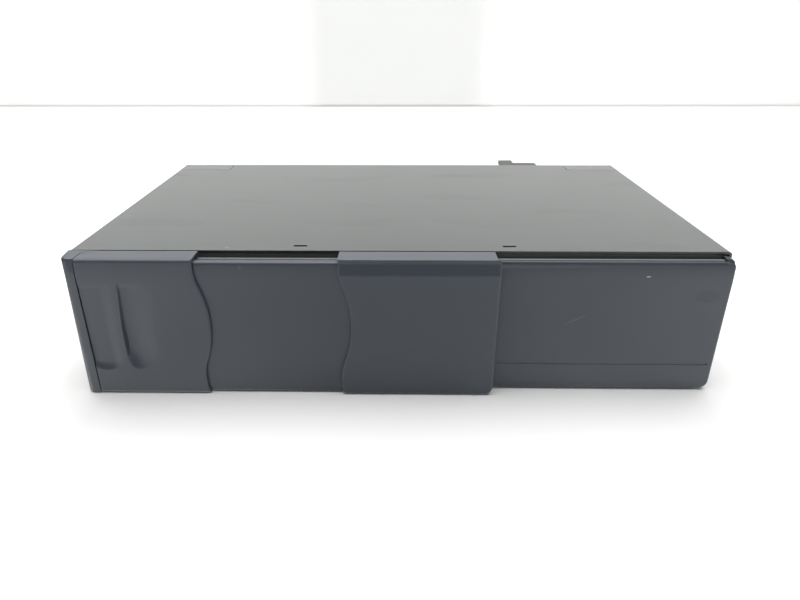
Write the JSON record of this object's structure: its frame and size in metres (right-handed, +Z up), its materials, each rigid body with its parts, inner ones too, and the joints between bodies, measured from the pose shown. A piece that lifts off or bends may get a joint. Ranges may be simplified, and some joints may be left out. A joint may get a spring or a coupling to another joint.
{
  "type": "disc changer",
  "caption": "Flat dark metal disc changer for a car boot: two sliding front doors, a magazine of disc trays, and a lifting deck that draws and plays a disc.",
  "frame": {"origin": "centre of the bounding box's footprint, on the underside of the base", "axes": "+X to the right seen from the front, +Y to the rear, +Z up; the doors face -Y"},
  "size_m": [0.257, 0.1806, 0.0585],
  "materials": {
    "cover_paint": "satin dark grey paint",
    "zinc_sheet": "plated steel sheet",
    "front_plastic": "fine-grained dark plastic",
    "black_plastic": "moulded black",
    "white_plastic": "natural bearing plastic",
    "magazine_plastic": "moulded, fine texture",
    "tray_plastic": "moulded, smooth",
    "steel_rod": "ground rod",
    "spring_steel": "drawn wire",
    "zinc_screw": "plated",
    "black_screw": "black oxide",
    "motor_can": "drawn can",
    "brass_pin": "plated contact",
    "damper_rubber": "soft, matt",
    "belt_rubber": "smooth, matt",
    "board_green": "solder resist",
    "chip_black": "moulded package",
    "lens_glass": "clear, coated"
  },
  "bodies": {
    "case": {"top_cover": "cover_paint", "base_plate": "zinc_sheet", "rear_panel": "zinc_sheet", "corner_caps": "black_plastic", "case_screws": "black_screw", "front_bezel": "front_plastic", "guide_rail": "black_screw", "main_board": "board_green", "board_screws": "zinc_screw", "board_components": "chip_black", "rear_socket": "black_plastic", "socket_pins": "brass_pin", "damper_cups": "damper_rubber", "float_springs": "spring_steel"},
    "outer_door": {"outer_door": "front_plastic"},
    "inner_door": {"inner_door": "front_plastic"},
    "eject_button": {"eject_button": "black_plastic"},
    "chassis": {"chassis_frame": "zinc_sheet", "chassis_bridge": "zinc_sheet", "bridge_screws": "zinc_screw", "bridge_pins": "steel_rod", "magazine_rails": "white_plastic", "damper_pins": "steel_rod", "lift_motor": "motor_can", "pusher_spring": "spring_steel"},
    "magazine": {"magazine_shell": "magazine_plastic", "magazine_lid": "magazine_plastic"},
    "pusher": {"magazine_pusher": "white_plastic"},
    "latch": {"latch_lever": "white_plastic"},
    "deck": {"deck_frame": "zinc_sheet", "deck_pins": "steel_rod", "deck_guides": "white_plastic", "draw_belt": "belt_rubber", "draw_motor": "motor_can"},
    "draw_hook": {"draw_hook": "white_plastic"},
    "draw_idler": {"draw_idler": "white_plastic"},
    "draw_drive_pulley": {"draw_drive_pulley": "white_plastic"},
    "traverse": {"traverse_plate": "zinc_sheet", "spindle_motor": "motor_can", "guide_shafts": "steel_rod", "shaft_holders": "white_plastic", "sled_motor": "motor_can"},
    "turntable": {"turntable": "black_plastic"},
    "pickup": {"pickup_body": "black_plastic", "pickup_lens": "lens_glass"},
    "sled_gear": {"sled_gear": "white_plastic"},
    "sled_motor_gear": {"sled_motor_gear": "white_plastic"},
    "clamp_arm": {"clamp_arm": "zinc_sheet"},
    "clamp_puck": {"clamp_puck": "black_plastic"},
    "lift_cam": {"lift_cam": "white_plastic"},
    "lift_gear": {"lift_gear": "white_plastic"},
    "lift_idler": {"lift_idler": "white_plastic"},
    "lift_motor_gear": {"lift_motor_gear": "white_plastic"},
    "tray_1": {"tray_1": "tray_plastic"},
    "tray_2": {"tray_2": "tray_plastic"},
    "tray_3": {"tray_3": "tray_plastic"},
    "tray_4": {"tray_4": "tray_plastic"},
    "tray_5": {"tray_5": "tray_plastic"},
    "tray_6": {"tray_6": "tray_plastic"}
  },
  "joints": [
    {"name": "outer_door_slide", "type": "slide", "parent": "case", "child": "outer_door", "axis": [1, 0, 0], "range_m": [0, 0.0865]},
    {"name": "inner_door_slide", "type": "slide", "parent": "outer_door", "child": "inner_door", "axis": [1, 0, 0], "range_m": [0, 0.0545]},
    {"name": "chassis_float", "type": "slide", "parent": "case", "child": "chassis", "axis": [0, 0, 1], "range_m": [-0.0012, 0.0012], "stiffness_N_per_m": 20000, "springref_m": 0.0006, "deforming": ["float_springs"]},
    {"name": "eject_button_slide", "type": "slide", "parent": "case", "child": "eject_button", "axis": [0, 1, 0], "range_m": [0, 0.0025], "stiffness_N_per_m": 300, "springref_m": -0.001},
    {"name": "latch_swing", "type": "hinge", "parent": "chassis", "child": "latch", "pos_m": [0.02, -0.03895, 0.0522], "axis": [0, 0, 1], "range_deg": [-21, 0]},
    {"name": "magazine_slide", "type": "slide", "parent": "chassis", "child": "magazine", "axis": [0, 1, 0], "range_m": [-0.0095, 0]},
    {"name": "pusher_slide", "type": "slide", "parent": "chassis", "child": "pusher", "axis": [0, 1, 0], "range_m": [-0.0095, 0], "deforming": ["pusher_spring"]},
    {"name": "tray_1_slide", "type": "slide", "parent": "magazine", "child": "tray_1", "axis": [1, 0, 0], "range_m": [0, 0.096]},
    {"name": "tray_2_slide", "type": "slide", "parent": "magazine", "child": "tray_2", "axis": [1, 0, 0], "range_m": [0, 0.096]},
    {"name": "tray_3_slide", "type": "slide", "parent": "magazine", "child": "tray_3", "axis": [1, 0, 0], "range_m": [0, 0.096]},
    {"name": "tray_4_slide", "type": "slide", "parent": "magazine", "child": "tray_4", "axis": [1, 0, 0], "range_m": [0, 0.096]},
    {"name": "tray_5_slide", "type": "slide", "parent": "magazine", "child": "tray_5", "axis": [1, 0, 0], "range_m": [0, 0.096]},
    {"name": "tray_6_slide", "type": "slide", "parent": "magazine", "child": "tray_6", "axis": [1, 0, 0], "range_m": [0, 0.096]},
    {"name": "deck_lift", "type": "slide", "parent": "chassis", "child": "deck", "axis": [0, 0, -1], "range_m": [-0.03, 0]},
    {"name": "lift_cam_slide", "type": "slide", "parent": "chassis", "child": "lift_cam", "axis": [1, 0, 0], "range_m": [-0.024, 0]},
    {"name": "lift_gear_spin", "type": "hinge", "parent": "chassis", "child": "lift_gear", "pos_m": [0.066, 0.02505, 0.052], "axis": [0, 0, 1], "range_deg": [-345, 0]},
    {"name": "lift_idler_spin", "type": "hinge", "parent": "chassis", "child": "lift_idler", "pos_m": [0.0952, 0.02505, 0.053], "axis": [0, 0, 1], "range_deg": [0, 418]},
    {"name": "lift_motor_spin", "type": "hinge", "parent": "chassis", "child": "lift_motor_gear", "pos_m": [0.1144, 0.02505, 0.053], "axis": [0, 0, 1], "range_deg": [-918, 0]},
    {"name": "draw_hook_slide", "type": "slide", "parent": "deck", "child": "draw_hook", "axis": [1, 0, 0], "range_m": [0, 0.096]},
    {"name": "draw_idler_spin", "type": "hinge", "parent": "deck", "child": "draw_idler", "pos_m": [0.016, 0.05805, 0.0082], "axis": [0, 1, 0], "range_deg": [0, 2120]},
    {"name": "draw_drive_spin", "type": "hinge", "parent": "deck", "child": "draw_drive_pulley", "pos_m": [0.116, 0.05805, 0.0082], "axis": [0, 1, 0], "range_deg": [0, 2120]},
    {"name": "traverse_lift", "type": "slide", "parent": "deck", "child": "traverse", "axis": [0, 0, 1], "range_m": [0, 0.0038]},
    {"name": "turntable_spin", "type": "hinge", "parent": "traverse", "child": "turntable", "pos_m": [0.041, -0.00695, 0.012], "axis": [0, 0, 1], "continuous": true},
    {"name": "pickup_slide", "type": "slide", "parent": "traverse", "child": "pickup", "axis": [0, -1, 0], "range_m": [0, 0.0325]},
    {"name": "sled_gear_spin", "type": "hinge", "parent": "traverse", "child": "sled_gear", "pos_m": [0.074, -0.03565, 0.005], "axis": [0, 0, 1], "range_deg": [0, 467]},
    {"name": "sled_motor_spin", "type": "hinge", "parent": "traverse", "child": "sled_motor_gear", "pos_m": [0.0868, -0.03565, 0.004], "axis": [0, 0, 1], "range_deg": [-1399, 0]},
    {"name": "clamp_swing", "type": "hinge", "parent": "deck", "child": "clamp_arm", "pos_m": [0.1071, -0.00695, 0.0195], "axis": [0, -1, 0], "range_deg": [0, 0.46]},
    {"name": "clamp_puck_spin", "type": "hinge", "parent": "clamp_arm", "child": "clamp_puck", "pos_m": [0.041, -0.00695, 0.0195], "axis": [0, 0, 1], "continuous": true}
  ],
  "couplings": [
    {"joint": "pusher_slide", "follows": "magazine_slide", "ratio": 1},
    {"joint": "latch_swing", "follows": "eject_button_slide", "rad_per_m": -142.86},
    {"joint": "draw_hook_slide", "follows": "tray_1_slide", "ratio": 1},
    {"joint": "draw_idler_spin", "follows": "tray_1_slide", "rad_per_m": 384.62},
    {"joint": "draw_drive_spin", "follows": "tray_1_slide", "rad_per_m": 384.62},
    {"joint": "lift_cam_slide", "follows": "deck_lift", "ratio": 0.8},
    {"joint": "lift_gear_spin", "follows": "deck_lift", "rad_per_m": 200},
    {"joint": "lift_idler_spin", "follows": "deck_lift", "rad_per_m": -242.42},
    {"joint": "lift_motor_spin", "follows": "deck_lift", "rad_per_m": 533.33},
    {"joint": "sled_gear_spin", "follows": "pickup_slide", "rad_per_m": 250},
    {"joint": "sled_motor_spin", "follows": "pickup_slide", "rad_per_m": -750},
    {"joint": "clamp_swing", "follows": "traverse_lift", "rad_per_m": 2.067}
  ]
}
